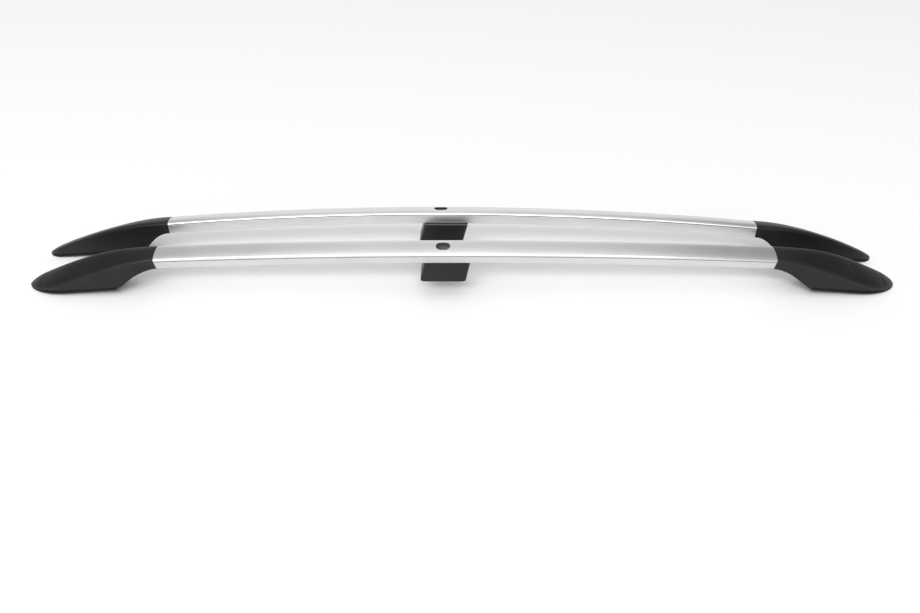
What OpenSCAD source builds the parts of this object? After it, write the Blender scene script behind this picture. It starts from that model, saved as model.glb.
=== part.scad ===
// A pair of roof side rails: two arched aluminium bars, each on two moulded feet and a raked centre support.
// X runs along the rails with the front at -X, Y runs across the pair and Z points up from the floor.
// One rail is described for the +Y side, and the other is its mirror image.

/* [Pair] */
// Overall length of a rail, toe to toe
rail_length = 1700; // [1560:10:1900]
// Clear gap between the bases of the two rails
base_gap = 72; // [60:1:240]
// Angle by which each rail opens out towards the front
toe_angle = 0.33; // [0:0.01:1]
// Fall of the roof from the middle of a rail to its toes
roof_fall = 38; // [30:1:46]
// Distance by which the left rail stands further back than the right one
stagger = 7.6; // [0:0.1:12]

/* [Bar] */
// Width of the bar across its two edge lines
bar_w = 42; // [38:0.5:48]
// Height of the bar's side faces
bar_side = 18; // [16:0.5:22]
// Rise of the domed top above the edge lines
crown = 7; // [5:0.5:9]
// Wall of the extrusion
bar_wall = 2.2; // [1.8:0.1:3]
// Radius of the bar's bottom corners
bar_corner = 1.6; // [1:0.1:2.4]
// Width of the groove under each edge line
groove_w = 1.2; // [0.6:0.1:2]
// Depth of the groove under each edge line
groove_depth = 0.6; // [0.3:0.1:1]
// Outward roll of the bar's section
bar_roll = 12; // [6:1:15]
// Height of the bar's edge lines above the floor at mid length
bar_z = 96; // [92:0.1:106]
// Distance of the bar from the inner edge of the bases at mid length
bar_out = 33.3; // [30:0.1:37]
// Height by which the bar arches between its ends
arch_rise = 20.8; // [12:0.2:26]
// Distance by which the bar bows outwards between its ends
side_bow = 12; // [6:1:16]

/* [Feet] */
// Length of the front foot from its joint with the bar to its toe
front_foot_len = 264; // [250:1:280]
// Length of the rear foot from its joint with the bar to its toe
rear_foot_len = 252.5; // [240:0.5:275]
// Length of the front foot's base along its outer edge
front_base_len = 183; // [170:1:190]
// Length of the rear foot's base along its outer edge
rear_base_len = 175; // [163:1:181]
// Width of the base of a foot
base_w = 55; // [51:1:61]
// Length by which the inner end of the heel runs further under the bar
heel_slant = 25; // [10:1:32]
// Length of the long outer curve of the nose
nose_out = 89; // [74:1:100]
// Length of the short inner curve of the nose
nose_in = 31; // [24:1:36]
// Distance of the toe's tip from the inner edge of the base
tip_in = 16; // [13:1:22]
// Half width of the blunt end of the toe
tip_half = 2; // [1:0.5:4]
// Slope of the top of the nose
nose_slope = 0.41; // [0.37:0.01:0.45]
// Share by which the inner edge of the nose climbs steeper, and the outer edge less steeply
nose_tilt = 0.11; // [0.06:0.01:0.14]
// Wall of the moulded feet
foot_wall = 3; // [2.4:0.1:3.6]
// Height of the rim round the base
rim_h = 3.4; // [2.6:0.1:4.4]
// Distance by which the rim stands proud of the foot's sides
rim_lip = 0.9; // [0.5:0.1:1.4]
// Length of solid neck behind the joint
neck_solid = 28; // [22:1:36]
// Thickness of the ribs inside the feet
rib_t = 2; // [1.6:0.1:2.6]
// Spacing of the cross ribs inside the feet
rib_pitch = 34; // [30:1:38]

/* [Tongue] */
// Length of the tongue that slides into the bar
tongue_len = 46; // [40:1:60]
// Clearance between the tongue and the inside of the bar
tongue_gap = 0.3; // [0.15:0.05:0.6]
// Width of the tongue's solid middle web
tongue_web = 10; // [9:0.5:14]

/* [Fixings] */
// Distance from the toe's tip back to the threaded insert
insert_back = 112; // [104:1:120]
// Radius of the threaded insert
insert_r = 5.8; // [5.4:0.1:6.4]
// Length of the threaded insert
insert_len = 14; // [10:1:18]
// Radius of the insert's threaded bore
insert_bore_r = 3.4; // [3.2:0.05:3.6]
// Wall of the boss round the insert
boss_wall = 3.4; // [2.6:0.1:4]
// Radius of the small self-tapping screws
screw_r = 2.1; // [1.8:0.05:2.4]
// Length of the screws' shanks
screw_len = 14; // [12:0.5:16]
// Radius of the screws' heads
screw_head_r = 4.2; // [3.8:0.1:4.8]
// Height of the screws' heads
screw_head_h = 2.6; // [2:0.1:3.2]
// Clearance round a screw where it passes the bar's wall
screw_gap = 0.5; // [0.3:0.05:0.8]

/* [Centre support] */
// Position of the support's base along the rail
support_x = -36; // [-80:1:80]
// Length of the support along the rail
support_len = 87; // [80:1:96]
// Width of the support's base
support_w = 60; // [56:1:64]
// Angle at which the support leans back
support_rake = 14; // [0:1:18]
// Distance by which the support's outer face flares out at the base
support_flare = 10.4; // [6:0.1:12]
// Distance by which the base stands inside the line of the feet
support_in = 1.6; // [0:0.1:3]
// Radius of the support's upright edges
support_corner = 7; // [4:0.5:10]
// Wall of the moulded support
support_wall = 3; // [2.4:0.1:3.6]
// Width of the bolt slot
slot_w = 11; // [9:0.5:12]
// Length of the bolt slot
slot_len = 23; // [19:0.5:27]
// Radius of the bolt hole in the bar's lower wall
bolt_hole_r = 4.5; // [4.2:0.1:5]
// Width of the access hole in the bar's top
access_w = 19.5; // [17:0.5:22]
// Length of the access hole in the bar's top
access_len = 27; // [24:0.5:32]
// Distance between the two locating pegs
peg_pitch = 57.5; // [50:0.5:60]
// Distance of the locating pegs outwards from the bolt slot
peg_out = 20; // [18:0.5:22]
// Radius of the locating pegs
peg_r = 2.4; // [2:0.1:3]
// Length of the locating pegs
peg_len = 2.5; // [1.5:0.1:4]
// Distance of the ribs beside the bolt slot from the wall round it
slot_rib_off = 3; // [2:0.5:4]
// Clearance between those ribs and the heads of the support's screws
support_screw_gap = 0.8; // [0.4:0.1:1.2]

/* [Hidden] */
$fn = 48;

// Faces round a full turn of the bar's very large bend
bend_fn = 1440;
// Steps across the domed top, along the foot and along its cavity
dome_steps = 12;
foot_steps = 22;
cavity_steps = 11;
arch_steps = 12;
// Fullness of the dome, where 2 is an ellipse
dome_power = 2.3;
// Overrun of a cutting shape past the face that it cuts
over = 4;
// Least height of the foot's side above its rim at the nose
side_min = 0.6;
// Steepness of the arch under the neck
arch_power = 2.1;
// Stretch over which the foot's edge line keeps the bar's slope, and the reach of the nose's slope
neck_reach = 73;
nose_reach = 137;
// Distances from the tip at which the outer edge line meets the rim and the flare of the side ends
ridge_merge = 27;
flare_end = 35;
flare_power = 1.25;
// Curve of the flared sides down to the rim
side_power = 1.6;
// Fullness of the nose's curves lengthwise, and how bluntly they end
nose_long = 2.4;
nose_blunt = 0.77;
// Least distance from the tip at which the foot is hollow
nose_solid = 38;
// Height of the ribs' lower edges above the base
rib_lift = 3;

half = rail_length / 2;
base_in = base_gap / 2;
tip_d = base_in + tip_in;
bar_d = base_in + bar_out;
front_joint = half - front_foot_len;
rear_joint = half - rear_foot_len;
half_span = (front_joint + rear_joint) / 2;
// The arch and the bow are one flat circular bend in a tilted plane
bend_tilt = atan2(side_bow, arch_rise);
bend_sag = norm([side_bow, arch_rise]);
bend_r = (half_span * half_span + bend_sag * bend_sag) / (2 * bend_sag);
roll_in_bend = bend_tilt - bar_roll;
roof_r = (half * half + roof_fall * roof_fall) / (2 * roof_fall);
boss_d = base_in + base_w / 2;
boss_r = insert_r + boss_wall;
slot_rib_x = slot_len / 2 + support_wall + slot_rib_off;
support_screw_off = slot_rib_x + rib_t / 2 + support_screw_gap + screw_head_r;

function mix(a, b, t) = a + (b - a) * t;
function smooth(t) = t <= 0 ? 0 : t >= 1 ? 1 : t * t * (3 - 2 * t);
function roof_z(x) = roof_fall - roof_r + sqrt(roof_r * roof_r - x * x);

// Directions of the bend at station x: outwards from its centre, along it, and along its axis
function bend_angle(x) = asin(x / bend_r);
function radial(x) = [sin(bend_angle(x)), cos(bend_angle(x)) * sin(bend_tilt), cos(bend_angle(x)) * cos(bend_tilt)];
function tangent(x) = [cos(bend_angle(x)), -sin(bend_angle(x)) * sin(bend_tilt), -sin(bend_angle(x)) * cos(bend_tilt)];
bend_axis = [0, cos(bend_tilt), -sin(bend_tilt)];
// Directions of the bar's section at station x: across it outwards, and up through it
function across(x) = sin(roll_in_bend) * radial(x) + cos(roll_in_bend) * bend_axis;
function up(x) = cos(roll_in_bend) * radial(x) - sin(roll_in_bend) * bend_axis;
function bar_middle(x) = [0, bar_d, bar_z] - bend_r * radial(0) + bend_r * radial(x);
function bar_point(x, a, b) = bar_middle(x) + a * across(x) + b * up(x);

// Height of the dome over the edge lines at the angle t round it, for a given half width and rise
function dome_point(t, w, h) =
    [w * sign(cos(t)) * pow(abs(cos(t)), 2 / dome_power), h * pow(abs(sin(t)), 2 / dome_power)];

// Outline of the bar, or of its inside when inset by the wall, with the grooves left out inside
function bar_outline(inset, groove) =
    let(
        w = bar_w / 2 - inset,
        low = -bar_side + inset,
        r = max(bar_corner - inset, 0.4),
        lift = inset > 0 ? -0.5 : 0,
        rise = crown - inset - lift,
        notch = groove ? [[w, 0], [w - groove_depth, -groove_w / 2], [w, -groove_w]] : [[w, lift]],
        dome = [for (i = [1 : dome_steps - 1]) dome_point(i * 180 / dome_steps, w, rise) + [0, lift]],
        corner = [for (i = [0 : 3]) [w - r + r * cos(i * 30), low + r - r * sin(i * 30)]]
    )
    concat(
        [for (i = [len(corner) - 1 : -1 : 0]) corner[i]],
        [for (i = [len(notch) - 1 : -1 : 0]) notch[i]],
        dome,
        [for (p = notch) [-p[0], p[1]]],
        [for (p = corner) [-p[0], p[1]]]
    );

// Sweeps a symmetric outline, drawn in the bar's section, along the bend between two stations
module swept(x0, x1) {
    a0 = bend_angle(x0);
    a1 = bend_angle(x1);
    ct = cos(bend_tilt);
    st = sin(bend_tilt);
    translate([0, bar_d, bar_z])
        multmatrix([[0, 1, 0, 0], [st, 0, ct, 0], [ct, 0, -st, 0]])
            translate([-bend_r, 0, 0])
                rotate_extrude(angle = a1 - a0, start = a0, $fn = bend_fn)
                    translate([bend_r, 0])
                        rotate(-90 - roll_in_bend)
                            children();
}

// Places its children on the bar at station x, with X along it, Y across it and Z up through it
module at_bar(x) {
    t = tangent(x);
    e = across(x);
    n = up(x);
    translate(bar_middle(x))
        multmatrix([[t[0], e[0], n[0], 0], [t[1], e[1], n[1], 0], [t[2], e[2], n[2], 0]])
            children();
}

// Turns a rail outwards at its front, about a point level with the toes' tips
module opened() {
    translate([0, tip_d, 0])
        rotate([0, 0, -toe_angle])
            translate([0, -tip_d, 0])
                children();
}

module left() {
    translate([stagger / 2, 0, 0])
        mirror([0, 1, 0])
            opened()
                children();
}

module right() {
    translate([-stagger / 2, 0, 0])
        opened()
            children();
}

module front_end() {
    mirror([1, 0, 0])
        children();
}

module obround(length, width) {
    for (s = [-1, 1])
        translate([s * (length - width) / 2, 0])
            circle(d = width);
    square([length - width, width], center = true);
}

// Closed solid through rings of equal length, with each end closed by pairing opposite points
module skin(rings) {
    n = len(rings);
    m = len(rings[0]);
    points = [for (ring = rings) for (p = ring) p];
    walls = [
        for (i = [0 : n - 2])
            for (j = [0 : m - 1])
                let(a = i * m + j, b = i * m + (j + 1) % m, c = a + m, d = b + m)
                    each [[a, d, b], [a, c, d]]
    ];
    first = [
        for (j = [0 : ceil(m / 2) - 2])
            let(a = j, b = j + 1, c = m - 2 - j, d = m - 1 - j)
                each (b == c ? [[a, b, d]] : [[a, b, d], [b, c, d]])
    ];
    last = [for (f = first) [for (k = [2 : -1 : 0]) f[k] + (n - 1) * m]];
    polyhedron(points = points, faces = concat(walls, first, last), convexity = 8);
}

// Shape of a foot, described for the +X end. f holds its length and the length of its base.
function joint_x(f) = half - f[0];
function heel_x(f, d) = half - f[1] - heel_slant * (base_in + base_w - d) / base_w;
function base_slope(f) = (2 * half - f[1]) / (2 * roof_r);
function base_z(f, x) = (half - x) * base_slope(f);
function rim_z(f, x) = base_z(f, x) + rim_h;
function neck(f, x, d) = smooth((x - joint_x(f)) / (heel_x(f, d) - joint_x(f)));

// Outer and inner edges of the base in plan
function nose_curve(x, reach) = pow(max(0, 1 - pow(max(0, (x - half + reach) / reach), nose_long)), nose_blunt);
function base_outer(x) = tip_d + tip_half + (base_w - tip_in - tip_half) * nose_curve(x, nose_out);
function base_inner(x) = tip_d - tip_half - (tip_in - tip_half) * nose_curve(x, nose_in);

// Height of a cubic curve in the X-Z plane at station x, found by halving
function cubic(p, t) =
    pow(1 - t, 3) * p[0] + 3 * t * pow(1 - t, 2) * p[1] + 3 * t * t * (1 - t) * p[2] + pow(t, 3) * p[3];
function cubic_z(p, x, lo = 0, hi = 1, n = 26) =
    let(t = (lo + hi) / 2, q = cubic(p, t))
    n == 0 ? q[1] : q[0] < x ? cubic_z(p, x, t, hi, n - 1) : cubic_z(p, x, lo, t, n - 1);

// Height of the outer (s = 1) or inner (s = -1) edge line, which runs on from the bar's edge line
function ridge_z(f, x, s) =
    let(
        start = bar_point(joint_x(f), s * bar_w / 2, 0),
        slope = tangent(joint_x(f))[2] / tangent(joint_x(f))[0],
        merge = s > 0 ? ridge_merge : 0,
        end_x = half - merge,
        end_z = rim_z(f, end_x),
        reach = nose_reach - merge,
        p = [
            [joint_x(f), start[2]],
            [joint_x(f) + neck_reach, start[2] + neck_reach * slope],
            [end_x - reach, end_z + reach * (nose_slope - s * nose_tilt)],
            [end_x, end_z]
        ]
    )
    max(x >= end_x ? 0 : cubic_z(p, x), rim_z(f, x) + side_min);

// Distance of that edge line from the middle of the pair
function ridge_d(f, x, s) =
    let(
        start = bar_point(joint_x(f), s * bar_w / 2, 0)[1],
        flare_start = base_in + base_w - rim_lip - start,
        left_over = max(0, (half - flare_end - x) / (half - flare_end - joint_x(f)))
    )
    s > 0
        ? base_outer(x) - rim_lip - flare_start * pow(left_over, flare_power)
        : mix(start, base_inner(x) + rim_lip, neck(f, x, base_in));

// Bottom edge of the side, before the arch under the neck is cut away
function side_d(f, x, s) =
    let(
        edge = base_in + (s > 0 ? base_w : 0),
        rolled = ridge_d(f, x, s) - tan(bar_roll) * (ridge_z(f, x, s) - rim_z(f, x)),
        k = neck(f, x, edge)
    )
    mix(rolled, s > 0 ? base_outer(x) : base_inner(x), k);

// Height of that edge line lowered by a drop, which still stays above the rim
function edge_z(f, x, s, drop) = max(ridge_z(f, x, s) - drop, rim_z(f, x) + side_min);

// Side points of a ring from the edge line down, at the shares given
function side_points(f, x, s, shares, inset, drop) =
    let(
        k = neck(f, x, base_in + base_w),
        top = [ridge_d(f, x, s) - s * inset, edge_z(f, x, s, drop)],
        low = [side_d(f, x, s) - s * (rim_lip * k + inset), rim_z(f, x)],
        p = mix(1, side_power, k)
    )
    [for (q = shares) [mix(top[0], low[0], pow(q, p)), mix(top[1], low[1], q)]];

// Points over the dome between the two edge lines, outer one first
function dome_points(f, x, steps, inset, drop) =
    let(
        o = [ridge_d(f, x, 1) - inset, edge_z(f, x, 1, drop)],
        i = [ridge_d(f, x, -1) + inset, edge_z(f, x, -1, drop)],
        e = (o - i) / norm(o - i),
        n = [-e[1], e[0]],
        rise = crown * min(1, norm(o - i) / bar_w)
    )
    [for (j = [0 : steps]) let(q = dome_point(j * 180 / steps, norm(o - i) / 2, rise)) (o + i) / 2 + q[0] * e + q[1] * n];

// Sets a flat ring at station x, leaning with the bar's end face near the joint
function place_ring(f, x, ring) =
    let(
        t = tangent(joint_x(f)),
        m = bar_middle(joint_x(f)),
        lean = 1 - smooth((x - joint_x(f)) / (2 * neck_solid))
    )
    [for (p = ring) [x + lean * (m[0] - joint_x(f) - (t[1] * (p[0] - m[1]) + t[2] * (p[1] - m[2])) / t[0]), p[0], p[1]]];

function foot_ring(f, x) =
    let(
        shares = [1, 0.75, 0.5, 0.25],
        outer = side_points(f, x, 1, shares, 0, 0),
        inner = side_points(f, x, -1, shares, 0, 0),
        ko = [side_d(f, x, 1), base_z(f, x)],
        ki = [side_d(f, x, -1), base_z(f, x)],
        lip = [0, rim_h - 0.6]
    )
    place_ring(f, x, concat(
        [ko, ko + lip],
        outer,
        dome_points(f, x, dome_steps, 0, 0),
        [for (j = [3 : -1 : 0]) inner[j]],
        [ki + lip, ki]
    ));

function cavity_ring(f, x) =
    let(
        drop = foot_wall * 1.1,
        outer = side_points(f, x, 1, [1, 0.5], foot_wall, drop),
        inner = side_points(f, x, -1, [1, 0.5], foot_wall, drop),
        low = base_z(f, x) - over
    )
    [for (p = concat(
        [[outer[0][0], low]],
        outer,
        dome_points(f, x, 4, foot_wall, drop),
        [inner[1], inner[0]],
        [[inner[0][0], low]]
    )) [x, p[0], p[1]]];

// Stations that close up towards the toe
function stations(x0, x1, steps, power) = [for (i = [0 : steps]) x1 - (x1 - x0) * pow(1 - i / steps, power)];

// Outline under the neck at one distance from the middle, from the bar's lower face down to the heel
function arch_profile(f, d, off) =
    let(
        xj = joint_x(f),
        xh = heel_x(f, d) + off,
        m = bar_point(xj, 0, -bar_side),
        slope = tangent(xj)[2] / tangent(xj)[0],
        lower = m[2] - tan(bar_roll) * (d - m[1]) + off,
        low = -10 * over
    )
    concat(
        [[xj - 2 * over, d, low], [xh, d, low]],
        [
            for (i = [0 : arch_steps])
                let(u = i / arch_steps, x = mix(xh, xj, u))
                [x, d, mix(rim_z(f, xh) + off, lower + slope * (x - xj), 1 - pow(1 - u, arch_power))]
        ],
        [[xj - 2 * over, d, lower - 2 * over * slope]]
    );

// The space under the neck, with a flat front end cap and a ruled face between two outlines
module arch_cut(f, off) {
    a = arch_profile(f, base_in - 8 * over, off);
    b = arch_profile(f, base_in + base_w + 8 * over, off);
    m = len(a);
    walls = [for (j = [0 : m - 1]) let(k = (j + 1) % m) each [[j, k + m, j + m], [j, k, k + m]]];
    // The outline is seen whole from its corner under the heel
    near = [for (j = [2 : m - 1]) [1, (j + 1) % m, j]];
    far = [for (t = near) [t[2] + m, t[1] + m, t[0] + m]];
    polyhedron(points = concat(a, b), faces = concat(walls, near, far), convexity = 4);
}

// Places its children on the base of a foot, with Z square to the base
module on_base(f, x, d) {
    translate([x, d, base_z(f, x)])
        rotate([0, atan(base_slope(f)), 0])
            children();
}

// The insert's outside, run on below its end face by the length given
module insert_body(below) {
    waist = 0.5;
    third = insert_len / 3;
    translate([0, 0, -below])
        cylinder(r = insert_r, h = third + below);
    cylinder(r = insert_r - waist, h = insert_len);
    translate([0, 0, 2 * third])
        cylinder(r = insert_r, h = third);
}

// Cross ribs, the long web and the boss, all standing clear above the base
module foot_ribs(f) {
    top = bar_z;
    boss_x = half - insert_back;
    for (k = [-1.5 : 1 : 1.5])
        on_base(f, boss_x + k * rib_pitch, 0)
            translate([-rib_t / 2, 0, rib_lift])
                cube([rib_t, 2 * half, top]);
    on_base(f, boss_x, boss_d)
        translate([-2 * rib_pitch, -rib_t / 2, rib_lift])
            cube([4 * rib_pitch, rib_t, top]);
    on_base(f, boss_x, boss_d)
        translate([0, 0, -2 * over])
            cylinder(r = boss_r, h = top);
}

module tongue(f) {
    w = bar_w / 2 - bar_wall - tongue_gap;
    pocket_low = -bar_side + bar_wall + tongue_gap + foot_wall;
    pocket_high = crown - bar_wall - tongue_gap - foot_wall - 1;
    xj = joint_x(f);
    difference() {
        swept(xj - tongue_len, xj + neck_solid / 2)
            polygon(bar_outline(bar_wall + tongue_gap, false));
        swept(xj - tongue_len - over, xj - over)
            for (s = [-1, 1])
                translate([s * (tongue_web / 2 + (w - foot_wall - tongue_web / 2) / 2), (pocket_low + pocket_high) / 2])
                    square([w - foot_wall - tongue_web / 2, pocket_high - pocket_low], center = true);
    }
}

// Stations of the two screws that hold a foot's tongue
function foot_screw_x(f) = [for (k = [0.28, 0.74]) joint_x(f) - k * tongue_len];

module foot(f) {
    color([0.1, 0.1, 0.105])
        difference() {
            union() {
                difference() {
                    skin([for (x = stations(joint_x(f), half, foot_steps, 1.8)) foot_ring(f, x)]);
                    arch_cut(f, 0);
                    difference() {
                        skin([
                            for (x = stations(joint_x(f) + neck_solid, half - nose_solid, cavity_steps, 1.2))
                                cavity_ring(f, x)
                        ]);
                        arch_cut(f, foot_wall);
                        foot_ribs(f);
                    }
                }
                tongue(f);
            }
            on_base(f, half - insert_back, boss_d)
                insert_body(over);
            on_base(f, half - insert_back, boss_d)
                cylinder(r = insert_r - 1.2, h = insert_len + over);
            for (x = foot_screw_x(f))
                at_bar(x)
                    translate([0, 0, -bar_side])
                        cylinder(r = screw_r, h = screw_len + 1);
        }
}

module foot_insert(f) {
    color([0.72, 0.56, 0.25])
        on_base(f, half - insert_back, boss_d)
            difference() {
                insert_body(0);
                translate([0, 0, -over])
                    cylinder(r = insert_bore_r, h = insert_len + 2 * over);
            }
}

// A pan-head screw that points up, with its head's upper face at Z = 0
module pan_screw() {
    recess = 1.4;
    difference() {
        union() {
            cylinder(r = screw_r, h = screw_len);
            translate([0, 0, -screw_head_h / 2])
                cylinder(r = screw_head_r, h = screw_head_h / 2);
            translate([0, 0, -screw_head_h])
                cylinder(r1 = screw_head_r * 0.7, r2 = screw_head_r, h = screw_head_h / 2);
        }
        for (a = [0, 90])
            rotate(a)
                translate([-screw_head_r / 2, -0.5, -screw_head_h - 1])
                    cube([screw_head_r, 1, 1 + recess]);
    }
}

module foot_screws(f) {
    color([0.75, 0.75, 0.74])
        for (x = foot_screw_x(f))
            at_bar(x)
                translate([0, 0, -bar_side])
                    pan_screw();
}

module rail_bar() {
    color([0.82, 0.82, 0.83])
        difference() {
            swept(-front_joint, rear_joint)
                difference() {
                    polygon(bar_outline(0, true));
                    polygon(bar_outline(bar_wall, false));
                }
            at_bar(support_x)
                linear_extrude(crown + over)
                    obround(access_len, access_w);
            at_bar(support_x)
                translate([0, 0, -bar_side - over])
                    cylinder(r = bolt_hole_r, h = 2 * over + bar_wall);
            for (s = [-1, 1])
                at_bar(support_x + s * support_screw_off)
                    translate([0, 0, -bar_side - over])
                        cylinder(r = screw_r, h = 2 * over + bar_wall);
            for (x = foot_screw_x([rear_foot_len, rear_base_len]))
                at_bar(x)
                    translate([0, 0, -bar_side - over])
                        cylinder(r = screw_r + screw_gap, h = 2 * over + bar_wall);
            for (x = foot_screw_x([front_foot_len, front_base_len]))
                at_bar(-x)
                    translate([0, 0, -bar_side - over])
                        cylinder(r = screw_r + screw_gap, h = 2 * over + bar_wall);
        }
}

// Rounded outline of the support at the height z, inset by a wall, from its inner front corner round
function support_base_z() = roof_z(support_x);
function support_ring(z, inset) =
    let(
        h = z - support_base_z(),
        full = bar_point(support_x, 0, -bar_side)[2] - support_base_z(),
        share = min(1, max(0, h / full)),
        cx = support_x + h * tan(support_rake),
        d_in = base_in - support_in + inset,
        d_out = base_in - support_in + support_w - inset - support_flare * (1 - pow(1 - share, side_power)),
        lx = support_len / 2 - inset,
        r = max(1, support_corner - inset),
        corners = [[lx - r, d_out - r, 0], [r - lx, d_out - r, 90], [r - lx, d_in + r, 180], [lx - r, d_in + r, 270]]
    )
    [for (c = corners) for (i = [0 : 4]) [cx + c[0] + r * cos(c[2] + i * 22.5), c[1] + r * sin(c[2] + i * 22.5), z]];

// Everything above the bar's lower face, or lower by a drop
module above_bar(drop) {
    low = -bar_side - drop;
    reach = support_len / 2 + (bar_z - support_base_z()) * tan(support_rake) + over;
    swept(support_x - reach, support_x + reach)
        translate([-support_w, low])
            square([2 * support_w, 2 * bar_side + crown]);
}

// Column round the bolt slot, along the bolt's own axis
module slot_column(wall) {
    at_bar(support_x)
        translate([0, 0, -bar_z])
            linear_extrude(bar_z)
                obround(slot_len + 2 * wall, slot_w + 2 * wall);
}

module peg_places() {
    bolt_d = bar_middle(support_x)[1] - (bar_z - support_base_z()) * tan(bar_roll);
    for (s = [-1, 1])
        translate([support_x + s * peg_pitch / 2, bolt_d + peg_out, support_base_z()])
            children();
}

module centre_support() {
    z0 = support_base_z();
    z1 = bar_z - crown / 2;
    steps = 8;
    peg_boss_r = peg_r + 1.6;
    color([0.1, 0.1, 0.105])
        difference() {
            union() {
                difference() {
                    skin([for (i = [0 : steps]) support_ring(mix(z0, z1, i / steps), 0)]);
                    above_bar(0);
                    difference() {
                        skin([for (i = [0 : steps]) support_ring(mix(z0 - over, z1, i / steps), support_wall)]);
                        above_bar(support_wall);
                        slot_column(support_wall);
                        peg_places()
                            cylinder(r = peg_boss_r, h = bar_z);
                        for (s = [-1, 1])
                            translate([support_x - rib_t / 2 + s * slot_rib_x, 0, z0 + rib_lift])
                                cube([rib_t, half, bar_z]);
                    }
                }
                peg_places()
                    translate([0, 0, -peg_len])
                        cylinder(r = peg_r, h = 2 * peg_len);
            }
            at_bar(support_x)
                translate([0, 0, -bar_z])
                    linear_extrude(bar_z)
                        obround(slot_len, slot_w);
            for (s = [-1, 1])
                at_bar(support_x + s * support_screw_off)
                    translate([0, 0, -bar_side - over - support_wall])
                        cylinder(r = screw_r + screw_gap, h = 2 * over);
        }
}

module support_screws() {
    short = screw_len - support_wall - bar_wall;
    color([0.75, 0.75, 0.74])
        for (s = [-1, 1])
            at_bar(support_x + s * support_screw_off)
                translate([0, 0, -bar_side - support_wall])
                    difference() {
                        pan_screw();
                        translate([-screw_head_r, -screw_head_r, screw_len - short + over])
                            cube([2 * screw_head_r, 2 * screw_head_r, short]);
                    }
}

front = [front_foot_len, front_base_len];
rear = [rear_foot_len, rear_base_len];

left() rail_bar();  // left_rail_bar
left() front_end() foot(front);  // left_front_foot
left() foot(rear);  // left_rear_foot
left() front_end() foot_screws(front);  // left_front_foot_screws
left() foot_screws(rear);  // left_rear_foot_screws
left() front_end() foot_insert(front);  // left_front_insert
left() foot_insert(rear);  // left_rear_insert
left() centre_support();  // left_centre_support
left() support_screws();  // left_support_screws
right() rail_bar();  // right_rail_bar
right() front_end() foot(front);  // right_front_foot
right() foot(rear);  // right_rear_foot
right() front_end() foot_screws(front);  // right_front_foot_screws
right() foot_screws(rear);  // right_rear_foot_screws
right() front_end() foot_insert(front);  // right_front_insert
right() foot_insert(rear);  // right_rear_insert
right() centre_support();  // right_centre_support
right() support_screws();  // right_support_screws
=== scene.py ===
import math
from collections import namedtuple

import bpy
import bmesh
import numpy as np
from mathutils import Matrix, Vector

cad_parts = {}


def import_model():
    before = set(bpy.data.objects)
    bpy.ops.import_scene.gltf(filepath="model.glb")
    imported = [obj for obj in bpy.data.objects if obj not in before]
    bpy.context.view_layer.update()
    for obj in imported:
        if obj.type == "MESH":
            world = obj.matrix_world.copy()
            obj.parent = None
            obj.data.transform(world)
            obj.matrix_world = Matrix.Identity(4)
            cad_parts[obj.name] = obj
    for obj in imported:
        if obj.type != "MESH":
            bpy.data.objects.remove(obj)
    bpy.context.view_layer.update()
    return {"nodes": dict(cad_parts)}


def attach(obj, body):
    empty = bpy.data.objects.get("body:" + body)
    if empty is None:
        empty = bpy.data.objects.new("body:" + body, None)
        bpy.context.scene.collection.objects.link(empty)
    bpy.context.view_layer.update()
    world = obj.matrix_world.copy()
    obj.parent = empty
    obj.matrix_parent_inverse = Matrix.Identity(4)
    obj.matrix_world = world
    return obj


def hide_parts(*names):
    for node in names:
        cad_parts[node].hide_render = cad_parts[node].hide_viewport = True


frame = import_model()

MM = 0.001

# ---------------------------------------------------------------- sizes in millimetres
# as in the part's source, apart from the slope of the noses and how high they end
RAIL_LENGTH, BASE_GAP, TOE_ANGLE, ROOF_FALL = 1700.0, 72.0, math.radians(0.33), 38.0
STAGGER = 7.6
BAR_W, BAR_SIDE, CROWN, BAR_WALL, BAR_CORNER = 42.0, 18.0, 7.0, 2.2, 1.6
GROOVE_W, GROOVE_DEPTH, BAR_ROLL = 1.2, 0.6, math.radians(12)
BAR_Z, BAR_OUT, ARCH_RISE, SIDE_BOW = 96.0, 33.3, 20.8, 12.0

# length of a foot and of its base, slope of its top line at the nose, and how high that line ends over the rim
Foot = namedtuple("Foot", "length base_length nose_slope nose_rise")
FRONT, REAR = Foot(264.0, 183.0, 0.385, 1.5), Foot(252.5, 175.0, 0.415, 3.5)
BASE_W, HEEL_SLANT, NOSE_OUT, NOSE_IN, TIP_IN, TIP_HALF = 55.0, 25.0, 89.0, 31.0, 16.0, 2.0
NOSE_TILT, FOOT_WALL, RIM_H, RIM_LIP, NECK_SOLID = 0.11, 3.0, 3.4, 0.9, 28.0
RIB_T, RIB_PITCH, RIB_LIFT = 2.0, 34.0, 3.0
RIB_PLACES = (-1.5, -0.5, 0.5, 1.5)
TONGUE_LEN, TONGUE_GAP, TONGUE_WEB, TONGUE_TOP = 46.0, 0.3, 10.0, 1.0
SCREW_PLACES = (0.28, 0.74)
INSERT_BACK, INSERT_R, INSERT_LEN, BOSS_WALL = 112.0, 5.8, 14.0, 3.4
SCREW_R, SCREW_LEN, SCREW_GAP = 2.1, 14.0, 0.5
SUPPORT_X, SUPPORT_LEN, SUPPORT_W, SUPPORT_RAKE = -36.0, 87.0, 60.0, math.radians(14)
SUPPORT_FLARE, SUPPORT_IN, SUPPORT_CORNER, SUPPORT_WALL = 10.4, 1.6, 7.0, 3.0
SLOT_W, SLOT_LEN, BOLT_HOLE_R, ACCESS_W, ACCESS_LEN = 11.0, 23.0, 4.5, 19.5, 27.0
PEG_PITCH, PEG_OUT, PEG_R, PEG_LEN, PEG_WALL = 57.5, 20.0, 2.4, 2.5, 1.6
SLOT_RIB_OFF, SUPPORT_SCREW_OFF = 3.0, 23.5

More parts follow.
